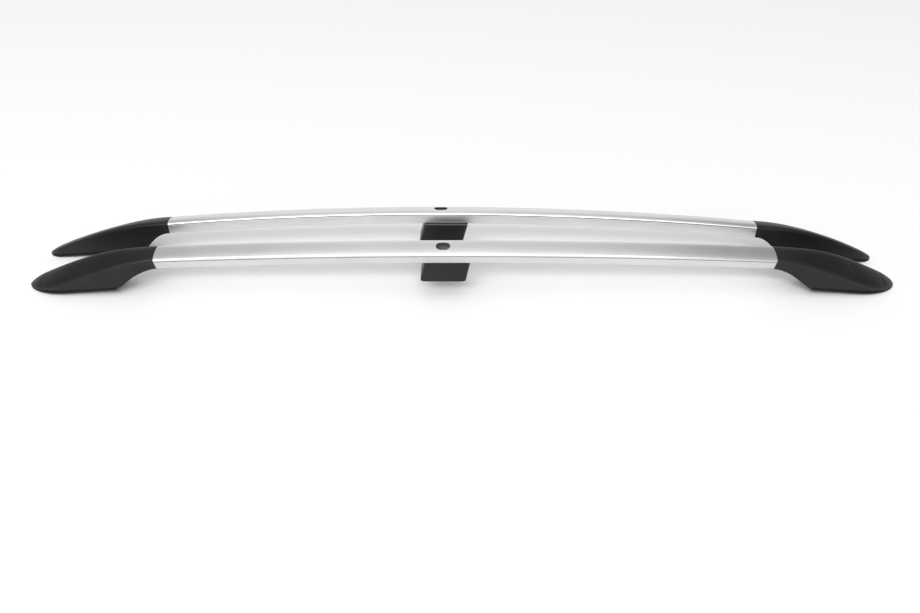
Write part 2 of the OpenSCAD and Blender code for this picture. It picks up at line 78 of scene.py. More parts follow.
# shape of the curves, and the shares of a groove's width between which its bottom is flat
DOME_POWER, ARCH_POWER, SIDE_POWER, FLARE_POWER = 2.3, 2.1, 1.6, 1.25
NOSE_LONG, NOSE_BLUNT = 2.4, 0.77
OVER, SIDE_MIN, NECK_REACH, NOSE_REACH = 4.0, 0.6, 73.0, 137.0
RIDGE_MERGE, FLARE_END, NOSE_SOLID, CAVITY_DROP = 27.0, 35.0, 38.0, 1.1 * FOOT_WALL
INNER_DROP, INNER_CORNER, SUPPORT_CORNER_MIN = 0.5, 0.4, 1.0
GROOVE_FLOOR = (0.36, 0.64)

# what only the visual model has: a seam over the rim, rounded tips, broken groove edges, a gap at the bar's ends;
# then how near counts as touching, and how far a pilot hole goes past its screw
SEAM_DEPTH, SEAM_H, SEAM_FADE, SEAM_FLAT = 1.5, 2.4, 12.0, 0.15
RIM_ROUND, RIM_EDGE, NOSE_ROUND = 0.6, 0.1, 5.0
GROOVE_CHAMFER, GROOVE_LIP, BAR_END_GAP = 0.12, 0.25, 0.12
TOUCH, PILOT_OVER = 0.01, 1.0

# steps, finer than the solids have, and how much closer the rings of a foot stand towards its nose
DOME_STEPS, FOOT_STEPS, CAVITY_STEPS, CAVITY_DOME_STEPS, ARCH_STEPS, BAR_STEPS = 36, 84, 26, 12, 40, 72
TONGUE_STEPS, POCKET_STEPS, SUPPORT_STEPS, ABOVE_STEPS = 8, 6, 24, 16
CORNER_STEPS, SUPPORT_CORNER_STEPS, OBROUND_POINTS, HALVINGS = 6, 10, 24, 30
CIRCLE_STEPS, HOLE_STEPS, PEG_STEPS, BORE_STEPS, PILOT_STEPS = 40, 32, 28, 24, 20
SIDE_SHARES, CAVITY_SHARES = [1 - i / 8 for i in range(8)], [1 - i / 4 for i in range(4)]
FOOT_CROWDING, CAVITY_CROWDING = 1.8, 1.2

HALF = RAIL_LENGTH / 2
BASE_INNER = BASE_GAP / 2
TIP_D = BASE_INNER + TIP_IN
BAR_D = BASE_INNER + BAR_OUT
FRONT_JOINT, REAR_JOINT = HALF - FRONT.length, HALF - REAR.length
HALF_SPAN = (FRONT_JOINT + REAR_JOINT) / 2
BEND_TILT = math.atan2(SIDE_BOW, ARCH_RISE)
BEND_SAG = math.hypot(SIDE_BOW, ARCH_RISE)
BEND_R = (HALF_SPAN ** 2 + BEND_SAG ** 2) / (2 * BEND_SAG)
ROLL_IN_BEND = BEND_TILT - BAR_ROLL
ROOF_R = (HALF ** 2 + ROOF_FALL ** 2) / (2 * ROOF_FALL)
BOSS_D = BASE_INNER + BASE_W / 2
BEND_AXIS = np.array([0, math.cos(BEND_TILT), -math.sin(BEND_TILT)])


def mix(a, b, t):
    return a + (b - a) * t


def smooth(t):
    t = min(max(t, 0.0), 1.0)
    return t * t * (3 - 2 * t)


# ---------------------------------------------------------------- materials
def node_material(name):
    mat = bpy.data.materials.new(name)
    mat.use_nodes = True
    nodes = mat.node_tree.nodes
    return mat, nodes, mat.node_tree.links, nodes["Principled BSDF"]


def noise_node(nodes, links, scale, detail, squeeze=(1, 1, 1)):
    """Noise in object coordinates, squeezed along each axis by a mapping."""
    tex = nodes.new("ShaderNodeTexCoord")
    mapping = nodes.new("ShaderNodeMapping")
    mapping.inputs["Scale"].default_value = squeeze
    noise = nodes.new("ShaderNodeTexNoise")
    noise.inputs["Scale"].default_value = scale
    noise.inputs["Detail"].default_value = detail
    links.new(tex.outputs["Object"], mapping.inputs["Vector"])
    links.new(mapping.outputs["Vector"], noise.inputs["Vector"])
    return noise.outputs["Fac"]


# the range in which nearly all of a noise lies
NOISE_LO, NOISE_HI = 0.3, 0.7


def ranged(nodes, links, source, lo, hi, target):
    """Maps a noise's middle range to lo..hi and feeds a socket."""
    node = nodes.new("ShaderNodeMapRange")
    node.inputs["From Min"].default_value = NOISE_LO
    node.inputs["From Max"].default_value = NOISE_HI
    node.inputs["To Min"].default_value = lo
    node.inputs["To Max"].default_value = hi
    links.new(source, node.inputs["Value"])
    links.new(node.outputs["Result"], target)


def tinted(nodes, links, source, dark, light, target):
    """Maps a noise's middle range to a colour between dark and light and feeds a socket."""
    ramp = nodes.new("ShaderNodeValToRGB")
    ramp.color_ramp.elements[0].position = NOISE_LO
    ramp.color_ramp.elements[1].position = NOISE_HI
    ramp.color_ramp.elements[0].color = (*dark, 1)
    ramp.color_ramp.elements[1].color = (*light, 1)
    links.new(source, ramp.inputs["Fac"])
    links.new(ramp.outputs["Color"], target)


def bumped(nodes, links, source, target, strength, distance, radius):
    """Bump over edges that the shader rounds by a small radius."""
    bevel = nodes.new("ShaderNodeBevel")
    bevel.inputs["Radius"].default_value = radius
    bump = nodes.new("ShaderNodeBump")
    bump.inputs["Strength"].default_value = strength
    bump.inputs["Distance"].default_value = distance
    links.new(bevel.outputs["Normal"], bump.inputs["Normal"])
    links.new(source, bump.inputs["Height"])
    links.new(bump.outputs["Normal"], target)


def aluminium():
    mat, nodes, links, bsdf = node_material("satin_aluminium")
    bsdf.inputs["Metallic"].default_value = 1.0
    drawn = noise_node(nodes, links, scale=1.0, detail=3.0, squeeze=(6, 2600, 2600))
    cloud = noise_node(nodes, links, scale=1.0, detail=2.0, squeeze=(9, 30, 30))
    tinted(nodes, links, cloud, (0.68, 0.685, 0.69), (0.74, 0.74, 0.745), bsdf.inputs["Base Color"])
    ranged(nodes, links, drawn, 0.27, 0.36, bsdf.inputs["Roughness"])
    bumped(nodes, links, drawn, bsdf.inputs["Normal"], strength=0.10, distance=0.00004, radius=0.0004)
    return mat


def painted_shade_aluminium(name, dark, light):
    """Aluminium coloured darker as painted shade, for the inside of the extrusion and for its grooves, where shade
    falls.
    """
    mat, nodes, links, bsdf = node_material(name)
    bsdf.inputs["Metallic"].default_value = 1.0
    drawn = noise_node(nodes, links, scale=1.0, detail=3.0, squeeze=(6, 1400, 1400))
    tinted(nodes, links, drawn, dark, light, bsdf.inputs["Base Color"])
    ranged(nodes, links, drawn, 0.5, 0.65, bsdf.inputs["Roughness"])
    return mat


def plastic():
    mat, nodes, links, bsdf = node_material("black_plastic")
    bsdf.inputs["Specular IOR Level"].default_value = 0.35
    grain = noise_node(nodes, links, scale=1500.0, detail=3.0)
    cloud = noise_node(nodes, links, scale=18.0, detail=3.0)
    tinted(nodes, links, cloud, (0.005, 0.005, 0.0052), (0.009, 0.0091, 0.0094), bsdf.inputs["Base Color"])
    ranged(nodes, links, grain, 0.36, 0.47, bsdf.inputs["Roughness"])
    bumped(nodes, links, grain, bsdf.inputs["Normal"], strength=0.22, distance=0.00012, radius=0.001)
    return mat


def plated(name, dark, light):
    mat, nodes, links, bsdf = node_material(name)
    bsdf.inputs["Metallic"].default_value = 1.0
    cloud = noise_node(nodes, links, scale=400.0, detail=3.0)
    tinted(nodes, links, cloud, dark, light, bsdf.inputs["Base Color"])
    ranged(nodes, links, cloud, 0.28, 0.42, bsdf.inputs["Roughness"])
    bumped(nodes, links, cloud, bsdf.inputs["Normal"], strength=0.15, distance=0.00005, radius=0.0002)
    return mat


ALUMINIUM, PLASTIC = aluminium(), plastic()
# painted shade: the inside of the bar is coloured darker than its satin outside, standing in for the shade inside
# the extrusion
INNER_SHADE = painted_shade_aluminium("painted_shade_aluminium", (0.30, 0.30, 0.305), (0.40, 0.40, 0.405))
# painted shade: the edge grooves are coloured near black, standing in for the shade that falls in them
GROOVE_SHADE = painted_shade_aluminium("groove_painted_shade", (0.05, 0.05, 0.052), (0.09, 0.09, 0.092))
ZINC = plated("zinc_steel", (0.56, 0.57, 0.57), (0.70, 0.70, 0.69))
BRASS = plated("brass", (0.62, 0.44, 0.16), (0.78, 0.58, 0.26))


# ---------------------------------------------------------------- the bend of the bar
def radial(x):
    a = math.asin(x / BEND_R)
    return np.array([math.sin(a), math.cos(a) * math.sin(BEND_TILT), math.cos(a) * math.cos(BEND_TILT)])


def tangent(x):
    a = math.asin(x / BEND_R)
    return np.array([math.cos(a), -math.sin(a) * math.sin(BEND_TILT), -math.sin(a) * math.cos(BEND_TILT)])


def across(x):
    return math.sin(ROLL_IN_BEND) * radial(x) + math.cos(ROLL_IN_BEND) * BEND_AXIS


def up(x):
    return math.cos(ROLL_IN_BEND) * radial(x) - math.sin(ROLL_IN_BEND) * BEND_AXIS


def bar_middle(x):
    return np.array([0, BAR_D, BAR_Z]) - BEND_R * radial(0) + BEND_R * radial(x)


def bar_point(x, a, b):
    """Point of the bar at station x, a across it and b up through it."""
    return bar_middle(x) + a * across(x) + b * up(x)


def bar_frame(x):
    """Matrix that sets X along the bar at station x, Y across it and Z up through it."""
    m = Matrix.Identity(4)
    for k, axis in enumerate((tangent(x), across(x), up(x), bar_middle(x))):
        for r in range(3):
            m[r][k] = axis[r]
    return m


def dome_point(t, w, h):
    c, s = math.cos(t), math.sin(t)
    return np.array([w * math.copysign(abs(c) ** (2 / DOME_POWER), c), h * abs(s) ** (2 / DOME_POWER)])


def bar_outline(inset, groove):
    """Section of the bar, or inset from it, with or without its edge grooves."""
    w = BAR_W / 2 - inset
    low = -BAR_SIDE + inset
    r = max(BAR_CORNER - inset, INNER_CORNER)
    lift = -INNER_DROP if inset > 0 else 0.0
    rise = CROWN - inset - lift
    if groove:
        notch = [
            (w, GROOVE_LIP), (w - GROOVE_CHAMFER, 0.0), (w - GROOVE_DEPTH, -GROOVE_W * GROOVE_FLOOR[0]),
            (w - GROOVE_DEPTH, -GROOVE_W * GROOVE_FLOOR[1]), (w - GROOVE_CHAMFER, -GROOVE_W),
            (w, -GROOVE_W - GROOVE_LIP),
        ]
    else:
        notch = [(w, lift)]
    dome = [dome_point(i * math.pi / DOME_STEPS, w, rise) + (0, lift) for i in range(1, DOME_STEPS)]
    if groove:
        dome = [p for p in dome if p[1] > 2 * GROOVE_LIP]
    turns = [math.radians(90 / CORNER_STEPS * i) for i in range(CORNER_STEPS + 1)]
    corner = [(w - r + r * math.cos(a), low + r - r * math.sin(a)) for a in turns]
    right = list(reversed(corner)) + list(reversed(notch))
    left = [(-p[0], p[1]) for p in reversed(right)]
    return [tuple(p) for p in right + list(dome) + left]


# ---------------------------------------------------------------- mesh tools, in millimetres on the right-hand side
def make_object(name, points, faces):
    mesh = bpy.data.meshes.new(name)
    mesh.from_pydata([tuple(map(float, p)) for p in points], [], faces)
    bm = bmesh.new()
    bm.from_mesh(mesh)
    bmesh.ops.recalc_face_normals(bm, faces=bm.faces)
    bm.to_mesh(mesh)
    bm.free()
    obj = bpy.data.objects.new(name, mesh)
    bpy.context.scene.collection.objects.link(obj)
    return obj


def loft(name, rings):
    n, m = len(rings), len(rings[0])
    points = [p for ring in rings for p in ring]
    faces = [
        (i * m + j, i * m + (j + 1) % m, (i + 1) * m + (j + 1) % m, (i + 1) * m + j)
        for i in range(n - 1)
        for j in range(m)
    ]
    faces.append(tuple(range(m)))
    faces.append(tuple(reversed(range((n - 1) * m, n * m))))
    return make_object(name, points, faces)


def swept(name, outline, x0, x1, steps):
    return loft(name, [[bar_point(x, a, b) for a, b in outline] for x in np.linspace(x0, x1, steps + 1)])


def prism(name, outline, z0, z1, matrix):
    """Upright prism over an outline in the X-Y plane, set in place by a matrix."""
    obj = loft(name, [[(a, b, z) for a, b in outline] for z in (z0, z1)])
    obj.data.transform(matrix)
    return obj


def box_outline(x0, x1, y0, y1):
    return [(x0, y0), (x1, y0), (x1, y1), (x0, y1)]


def circle_outline(r, steps=CIRCLE_STEPS):
    return [(r * math.cos(2 * math.pi * i / steps), r * math.sin(2 * math.pi * i / steps)) for i in range(steps)]


def obround_outline(length, width):
    s, r = (length - width) / 2, width / 2
    right = [(s + r * math.cos(a), r * math.sin(a)) for a in np.linspace(-math.pi / 2, math.pi / 2, OBROUND_POINTS)]
    return right + [(-x, -y) for x, y in right]


def boolean(target, tool, operation):
    """Cuts or joins a tool, whose faces keep their material, and removes it."""
    mod = target.modifiers.new("cut", "BOOLEAN")
    mod.operation = operation
    mod.solver = "EXACT"
    mod.material_mode = "TRANSFER"
    mod.object = tool
    dg = bpy.context.evaluated_depsgraph_get()
    mesh = bpy.data.meshes.new_from_object(target.evaluated_get(dg))
    target.modifiers.clear()
    old = target.data
    target.data = mesh
    bpy.data.meshes.remove(old)
    bpy.data.objects.remove(tool)


def cut(target, tool):
    boolean(target, tool, "DIFFERENCE")


def join(target, tool):
    boolean(target, tool, "UNION")


# ---------------------------------------------------------------- the feet, drawn for the +X end
def joint_x(f):
    return HALF - f.length


def heel_x(f, d):
    return HALF - f.base_length - HEEL_SLANT * (BASE_INNER + BASE_W - d) / BASE_W


def base_slope(f):
    return (2 * HALF - f.base_length) / (2 * ROOF_R)


def base_z(f, x):
    return (HALF - x) * base_slope(f)


def rim_z(f, x):
    return base_z(f, x) + RIM_H


def neck(f, x, d):
    """From 0 at the joint to 1 at the heel, at the distance d from the middle plane."""
    return smooth((x - joint_x(f)) / (heel_x(f, d) - joint_x(f)))


def nose_curve(x, reach):
    return max(0, 1 - max(0, (x - HALF + reach) / reach) ** NOSE_LONG) ** NOSE_BLUNT


def base_outer(x):
    return TIP_D + TIP_HALF + (BASE_W - TIP_IN - TIP_HALF) * nose_curve(x, NOSE_OUT)


def base_inner(x):
    return TIP_D - TIP_HALF - (TIP_IN - TIP_HALF) * nose_curve(x, NOSE_IN)


def cubic(p, t):
    u = 1 - t
    return [u ** 3 * p[0][k] + 3 * t * u * u * p[1][k] + 3 * t * t * u * p[2][k] + t ** 3 * p[3][k] for k in (0, 1)]


def cubic_z(p, x):
    lo, hi = 0.0, 1.0
    for _ in range(HALVINGS):
        t = (lo + hi) / 2
        if cubic(p, t)[0] < x:
            lo = t
        else:
            hi = t
    return cubic(p, (lo + hi) / 2)[1]


def ridge_z(f, x, s):
    """Height of the edge between top and side, outer for s = 1 and inner for s = -1."""
    xj = joint_x(f)
    start = bar_point(xj, s * BAR_W / 2, 0)
    slope = tangent(xj)[2] / tangent(xj)[0]
    merge = RIDGE_MERGE if s > 0 else 0.0
    end_x = HALF - merge
    end_z = rim_z(f, end_x)
    reach = NOSE_REACH - merge
    rise = f.nose_rise if s < 0 else 0.0
    p = [
        (xj, start[2]),
        (xj + NECK_REACH, start[2] + NECK_REACH * slope),
        (end_x - reach, end_z + rise + reach * (f.nose_slope - s * NOSE_TILT)),
        (end_x, end_z + rise),
    ]
    line = 0.0 if x >= end_x and s > 0 else cubic_z(p, x)
    least = rim_z(f, x) + SIDE_MIN
    in_tip = max(0.0, x - HALF + NOSE_ROUND) / NOSE_ROUND
    return least + max(0.0, line - least) * math.sqrt(1 - in_tip ** 2)


def edge_z(f, x, s, drop):
    return max(ridge_z(f, x, s) - drop, rim_z(f, x) + SIDE_MIN)


def ridge_d(f, x, s):
    """Distance of that edge from the middle plane."""
    xj = joint_x(f)
    start = bar_point(xj, s * BAR_W / 2, 0)[1]
    if s > 0:
        flare_start = BASE_INNER + BASE_W - RIM_LIP - start
        left_over = max(0.0, (HALF - FLARE_END - x) / (HALF - FLARE_END - xj))
        return base_outer(x) - RIM_LIP - flare_start * left_over ** FLARE_POWER
    return mix(start, base_inner(x) + RIM_LIP, neck(f, x, BASE_INNER))


def side_d(f, x, s):
    edge = BASE_INNER + (BASE_W if s > 0 else 0)
    rolled = ridge_d(f, x, s) - math.tan(BAR_ROLL) * (ridge_z(f, x, s) - rim_z(f, x))
    return mix(rolled, base_outer(x) if s > 0 else base_inner(x), neck(f, x, edge))


def side_points(f, x, s, shares, inset, drop):
    k = neck(f, x, BASE_INNER + BASE_W)
    top = (ridge_d(f, x, s) - s * inset, edge_z(f, x, s, drop))
    low = (side_d(f, x, s) - s * (RIM_LIP * k + inset), rim_z(f, x))
    p = mix(1, SIDE_POWER, k)
    return [(mix(top[0], low[0], q ** p), mix(top[1], low[1], q)) for q in shares]


def dome_points(f, x, steps, inset, drop):
    o = np.array([ridge_d(f, x, 1) - inset, edge_z(f, x, 1, drop)])
    i = np.array([ridge_d(f, x, -1) + inset, edge_z(f, x, -1, drop)])
    w = np.linalg.norm(o - i)
    e = (o - i) / w
    n = np.array([-e[1], e[0]])
    rise = CROWN * min(1, w / BAR_W)
    out = []
    for j in range(steps + 1):
        q = dome_point(j * math.pi / steps, w / 2, rise)
        out.append(tuple((o + i) / 2 + q[0] * e + q[1] * n))
    return out


def place_ring(f, x, ring):
    """Ring at station x, leaning near the joint so that the foot meets the bar's end square."""
    xj = joint_x(f)
    t, m = tangent(xj), bar_middle(xj)
    lean = 1 - smooth((x - xj) / (2 * NECK_SOLID))
    return [
        (x + lean * (m[0] - xj - (t[1] * (p[0] - m[1]) + t[2] * (p[1] - m[2])) / t[0]), p[0], p[1]) for p in ring
    ]


def foot_ring(f, x):
    outer = side_points(f, x, 1, SIDE_SHARES, 0, 0)
    inner = side_points(f, x, -1, SIDE_SHARES, 0, 0)
    k = neck(f, x, BASE_INNER + BASE_W) * min(1.0, (HALF - x) / SEAM_FADE)

    def rim(s):
        """The rim from the base up, with a narrow seam between it and the foot's side."""
        d, base = side_d(f, x, s), base_z(f, x)
        seam = d - s * (RIM_LIP + SEAM_DEPTH) * k
        top = mix(SEAM_FLAT, SEAM_H, k) - RIM_EDGE
        rounded = d - s * RIM_ROUND / 2 * k
        return [(d, base)] + [
            (a, base + RIM_H + h)
            for a, h in ((d, -RIM_ROUND), (rounded, -RIM_EDGE), (seam, RIM_EDGE), (seam, top))
        ]

    def above_seam(side):
        least = [mix(2 * SEAM_FLAT, SEAM_H, k)] + [0] * (len(side) - 1)
        return [(a, max(b, rim_z(f, x) + h)) for (a, b), h in zip(side, least)]

    ring = rim(1) + above_seam(outer) + dome_points(f, x, DOME_STEPS, 0, 0)
    ring += list(reversed(above_seam(inner))) + list(reversed(rim(-1)))
    return place_ring(f, x, ring)


def cavity_ring(f, x):
    outer = side_points(f, x, 1, CAVITY_SHARES, FOOT_WALL, CAVITY_DROP)
    inner = side_points(f, x, -1, CAVITY_SHARES, FOOT_WALL, CAVITY_DROP)
    low = base_z(f, x) - OVER
    ring = [(outer[0][0], low)] + outer + dome_points(f, x, CAVITY_DOME_STEPS, FOOT_WALL, CAVITY_DROP)
    ring += list(reversed(inner)) + [(inner[0][0], low)]
    return [(x, p[0], p[1]) for p in ring]


def stations(x0, x1, steps, power):
    """Places from x0 to x1 that stand closer towards x1."""
    return [x1 - (x1 - x0) * (1 - i / steps) ** power for i in range(steps + 1)]


def arch_profile(f, d, off):
    xj, xh = joint_x(f), heel_x(f, d) + off
    m = bar_point(xj, 0, -BAR_SIDE)
    slope = tangent(xj)[2] / tangent(xj)[0]
    lower = m[2] - math.tan(BAR_ROLL) * (d - m[1]) + off
    low = -10 * OVER
    out = [(xj - 2 * OVER, d, low), (xh, d, low)]
    for i in range(ARCH_STEPS + 1):
        u = i / ARCH_STEPS
        x = mix(xh, xj, u)
        out.append((x, d, mix(rim_z(f, xh) + off, lower + slope * (x - xj), 1 - (1 - u) ** ARCH_POWER)))
    out.append((xj - 2 * OVER, d, lower - 2 * OVER * slope))
    return out


def arch_cut(f, off):
    return loft("arch", [arch_profile(f, d, off) for d in (BASE_INNER - 8 * OVER, BASE_INNER + BASE_W + 8 * OVER)])


def base_frame(f, x, d):
    return Matrix.Translation((x, d, base_z(f, x))) @ Matrix.Rotation(math.atan(base_slope(f)), 4, "Y")


def foot_mesh(f, name):
    xj = joint_x(f)
    boss_x = HALF - INSERT_BACK
    foot = loft(name, [foot_ring(f, x) for x in stations(xj, HALF, FOOT_STEPS, FOOT_CROWDING)])
    cut(foot, arch_cut(f, 0))
    places = stations(xj + NECK_SOLID, HALF - NOSE_SOLID, CAVITY_STEPS, CAVITY_CROWDING)
    hollow = loft("hollow", [cavity_ring(f, x) for x in places])
    cut(hollow, arch_cut(f, FOOT_WALL))
    at_boss = base_frame(f, boss_x, BOSS_D)
    rib = box_outline(-RIB_T / 2, RIB_T / 2, 0, 2 * HALF)
    for k in RIB_PLACES:
        cut(hollow, prism("rib", rib, RIB_LIFT, BAR_Z, base_frame(f, boss_x + k * RIB_PITCH, 0)))
    web = box_outline(-2 * RIB_PITCH, 2 * RIB_PITCH, -RIB_T / 2, RIB_T / 2)
    cut(hollow, prism("web", web, RIB_LIFT, BAR_Z, at_boss))
    cut(hollow, prism("boss", circle_outline(INSERT_R + BOSS_WALL), -2 * OVER, BAR_Z, at_boss))
    cut(foot, hollow)
    w = BAR_W / 2 - BAR_WALL - TONGUE_GAP
    low = -BAR_SIDE + BAR_WALL + TONGUE_GAP + FOOT_WALL
    high = CROWN - BAR_WALL - TONGUE_GAP - FOOT_WALL - TONGUE_TOP
    inside = bar_outline(BAR_WALL + TONGUE_GAP, False)
    tongue = swept("tongue", inside, xj - TONGUE_LEN, xj + NECK_SOLID / 2, TONGUE_STEPS)
    for s in (-1, 1):
        outline = [(s * a, b) for a, b in box_outline(TONGUE_WEB / 2, w - FOOT_WALL, low, high)]
        cut(tongue, swept("pocket", outline, xj - TONGUE_LEN - OVER, xj - OVER, POCKET_STEPS))
    join(foot, tongue)
    cut(foot, prism("bore", circle_outline(INSERT_R), -OVER, INSERT_LEN, at_boss))
    for k in SCREW_PLACES:
        pilot, floor = circle_outline(SCREW_R, PILOT_STEPS), -BAR_SIDE - PILOT_OVER
        depth = SCREW_LEN + 2 * PILOT_OVER
        cut(foot, prism("hole", pilot, floor, floor + depth, bar_frame(xj - k * TONGUE_LEN)))
    return foot


# ---------------------------------------------------------------- the bar and the support, drawn for the +Y side
def bar_mesh(name):
    outline = bar_outline(0, True)
    bar = swept(name, outline, -FRONT_JOINT + BAR_END_GAP, REAR_JOINT - BAR_END_GAP, BAR_STEPS)
    bar.data.materials.append(ALUMINIUM)
    # the second material is the painted shade of the grooves
    bar.data.materials.append(GROOVE_SHADE)
    lip = BAR_W / 2 - GROOVE_CHAMFER + TOUCH
    in_groove = [abs(a) < lip and -GROOVE_W - TOUCH < b < TOUCH for a, b in outline]
    # faces inside the grooves get the near-black painted shade
    for k, face in enumerate(bar.data.polygons):
        j = k % len(outline)
        if k < BAR_STEPS * len(outline) and in_groove[j] and in_groove[(j + 1) % len(outline)]:
            face.material_index = 1
    hollow = swept("hollow", bar_outline(BAR_WALL, False), -FRONT_JOINT - OVER, REAR_JOINT + OVER, BAR_STEPS)
    # the hollow's faces, cut into the bar, carry the darker inside colour, which is painted shade
    hollow.data.materials.append(INNER_SHADE)
    cut(bar, hollow)
    cut(bar, prism("access", obround_outline(ACCESS_LEN, ACCESS_W), 0, CROWN + OVER, bar_frame(SUPPORT_X)))
    floor = -BAR_SIDE - OVER
    holes = [(SUPPORT_X, BOLT_HOLE_R)]
    holes += [(SUPPORT_X + s * SUPPORT_SCREW_OFF, SCREW_R) for s in (-1, 1)]
    for k in SCREW_PLACES:
        holes += [(x, SCREW_R + SCREW_GAP) for x in (REAR_JOINT - k * TONGUE_LEN, k * TONGUE_LEN - FRONT_JOINT)]
    for x, r in holes:
        cut(bar, prism("hole", circle_outline(r, HOLE_STEPS), floor, floor + 2 * OVER + BAR_WALL, bar_frame(x)))
    return bar


def roof_z(x):
    return ROOF_FALL - ROOF_R + math.sqrt(ROOF_R ** 2 - x * x)


SUPPORT_Z = roof_z(SUPPORT_X)


def support_ring(z, inset):
    """Raked and flared outline of the support at a height."""
    h = z - SUPPORT_Z
    full = bar_point(SUPPORT_X, 0, -BAR_SIDE)[2] - SUPPORT_Z
    share = min(1.0, max(0.0, h / full))
    cx = SUPPORT_X + h * math.tan(SUPPORT_RAKE)
    d_in = BASE_INNER - SUPPORT_IN + inset
    d_out = BASE_INNER - SUPPORT_IN + SUPPORT_W - inset - SUPPORT_FLARE * (1 - (1 - share) ** SIDE_POWER)
    lx = SUPPORT_LEN / 2 - inset
    r = max(SUPPORT_CORNER_MIN, SUPPORT_CORNER - inset)
    corners = [(lx - r, d_out - r, 0), (r - lx, d_out - r, 90), (r - lx, d_in + r, 180), (lx - r, d_in + r, 270)]
    turn = 90 / SUPPORT_CORNER_STEPS
    return [
        (cx + x + r * math.cos(math.radians(a + i * turn)), d + r * math.sin(math.radians(a + i * turn)), z)
        for x, d, a in corners
        for i in range(SUPPORT_CORNER_STEPS + 1)
    ]


def above_bar(drop):
    """Tool that takes off what reaches into the bar, or a wall under it."""
    reach = SUPPORT_LEN / 2 + (BAR_Z - SUPPORT_Z) * math.tan(SUPPORT_RAKE) + OVER
    low = -BAR_SIDE - drop
    outline = box_outline(-SUPPORT_W, SUPPORT_W, low, low + 2 * BAR_SIDE + CROWN)
    return swept("above", outline, SUPPORT_X - reach, SUPPORT_X + reach, ABOVE_STEPS)


def support_loft(name, low, inset):
    high = BAR_Z - CROWN / 2
    levels = [mix(low, high, i / SUPPORT_STEPS) for i in range(SUPPORT_STEPS + 1)]
    return loft(name, [support_ring(z, inset) for z in levels])


def support_mesh(name):
    support = support_loft(name, SUPPORT_Z, 0)
    cut(support, above_bar(0))
    hollow = support_loft("hollow", SUPPORT_Z - OVER, SUPPORT_WALL)
    cut(hollow, above_bar(SUPPORT_WALL))
    at = bar_frame(SUPPORT_X)
    column = obround_outline(SLOT_LEN + 2 * SUPPORT_WALL, SLOT_W + 2 * SUPPORT_WALL)
    cut(hollow, prism("column", column, -BAR_Z, 0, at))
    bolt_d = bar_middle(SUPPORT_X)[1] - (BAR_Z - SUPPORT_Z) * math.tan(BAR_ROLL)
    pegs = [
        Matrix.Translation((SUPPORT_X + s * PEG_PITCH / 2, bolt_d + PEG_OUT, SUPPORT_Z)) for s in (-1, 1)
    ]
    for m in pegs:
        cut(hollow, prism("boss", circle_outline(PEG_R + PEG_WALL, PEG_STEPS), 0, BAR_Z, m))
    for s in (-1, 1):
        x = SUPPORT_X - RIB_T / 2 + s * (SLOT_LEN / 2 + SUPPORT_WALL + SLOT_RIB_OFF)
        rib = box_outline(x, x + RIB_T, 0, HALF)
        cut(hollow, prism("rib", rib, SUPPORT_Z + RIB_LIFT, 2 * BAR_Z, Matrix.Identity(4)))
    cut(support, hollow)
    for m in pegs:
        join(support, prism("peg", circle_outline(PEG_R, PEG_STEPS), -PEG_LEN, PEG_LEN, m))
    cut(support, prism("slot", obround_outline(SLOT_LEN, SLOT_W), -BAR_Z, OVER, at))
    low = -BAR_SIDE - OVER - SUPPORT_WALL
    bore = circle_outline(SCREW_R + SCREW_GAP, BORE_STEPS)
    for s in (-1, 1):
        cut(support, prism("hole", bore, low, low + 2 * OVER, bar_frame(SUPPORT_X + s * SUPPORT_SCREW_OFF)))
    return support


# ---------------------------------------------------------------- finished pieces on both sides
MERGE_DISTANCE = 1e-4


def soften(mesh, angle):
    """Smooth shading, with the edges beyond an angle kept sharp."""
    bm = bmesh.new()
    bm.from_mesh(mesh)
    bmesh.ops.remove_doubles(bm, verts=bm.verts, dist=MERGE_DISTANCE)
    for face in bm.faces:
        face.smooth = True
    for edge in bm.edges:
        edge.smooth = len(edge.link_faces) == 2 and edge.calc_face_angle(0) < angle
    bm.to_mesh(mesh)
    bm.free()


def set_on_side(obj, name, node, left, front, material):
    """A copy of a piece on one side and end of the pair, standing for its CAD node."""
    mesh = obj.data.copy()
    mesh.name = name
    shift = (STAGGER if left else -STAGGER) / 2
    toe = Matrix.Rotation(-TOE_ANGLE, 4, "Z")
    place = Matrix.Translation((shift, 0, 0)) @ (
        Matrix.Translation((0, TIP_D, 0)) @ toe @ Matrix.Translation((0, -TIP_D, 0)))
    flips = Matrix.Diagonal((1, -1 if left else 1, 1, 1)) @ place @ Matrix.Diagonal((-1 if front else 1, 1, 1, 1))
    mesh.transform(Matrix.Scale(MM, 4) @ flips)
    if left != front:
        mesh.flip_normals()
    if not any(mesh.materials):
        mesh.materials.clear()
        mesh.materials.append(material)
    piece = bpy.data.objects.new(name, mesh)
    bpy.context.scene.collection.objects.link(piece)
    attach(piece, "root")
    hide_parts(node)


# model, its name in the frame without its side, whether it stands at the front, finish, slot, and the angle in
# degrees from which an edge is sharp
MODELS = [
    (bar_mesh("bar_model"), "rail_bar", False, ALUMINIUM, "satin_aluminium", 24),
    (foot_mesh(FRONT, "front_foot_model"), "front_foot", True, PLASTIC, "black_plastic", 32),
    (foot_mesh(REAR, "rear_foot_model"), "rear_foot", False, PLASTIC, "black_plastic", 32),
    (support_mesh("support_model"), "centre_support", False, PLASTIC, "black_plastic", 32),
]
for model, part, at_front, material, slot_name, angle in MODELS:
    soften(model.data, math.radians(angle))
    for side in ("left", "right"):
        set_on_side(model, f"{side}_{part}_shape", f"{side}_{part}", side == "left", at_front, material)
    bpy.data.objects.remove(model)

for name, obj in frame["nodes"].items():
    material = ZINC if name.endswith("_screws") else BRASS if name.endswith("_insert") else None
    if material is not None:
        obj.data.materials.clear()
        obj.data.materials.append(material)


# ---------------------------------------------------------------- floor, world, lamp and camera
FLOOR_HALF, FLOOR_GREY, FLOOR_LIFT = 12.0, 0.92, 0.05

